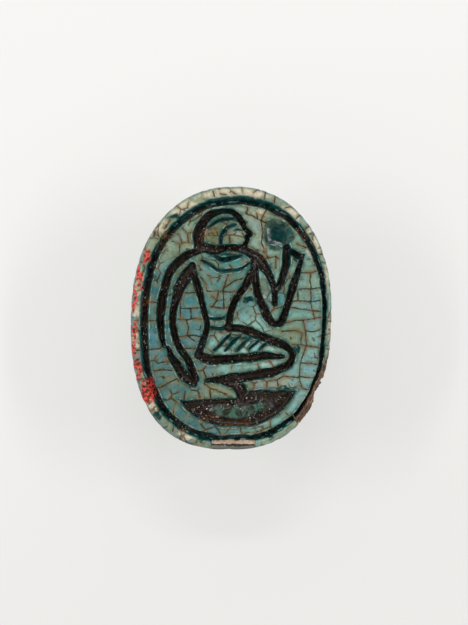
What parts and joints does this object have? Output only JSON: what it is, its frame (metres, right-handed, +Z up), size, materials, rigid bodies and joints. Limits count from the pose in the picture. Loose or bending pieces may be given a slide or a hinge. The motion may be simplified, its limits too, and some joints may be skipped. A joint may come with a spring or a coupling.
{
  "type": "scarab amulet",
  "caption": "Oval stone scarab amulet, glazed blue-green, lying on its beetle back with an engraved base of a kneeling figure holding a lotus.",
  "frame": {"origin": "on the surface that it lies on, under the centre of the oval's bounding box", "axes": "+Z up, out of the engraved base face; +Y towards the beetle's head, which is also the top of the engraved scene; +X to the scene's right"},
  "size_m": [0.0152, 0.0198, 0.0088],
  "materials": {
    "glazed_steatite": "glossy crackled blue-green glaze, worn to pale stone on the rim"
  },
  "bodies": {
    "root": {"scarab": "glazed_steatite"}
  },
  "joints": []
}
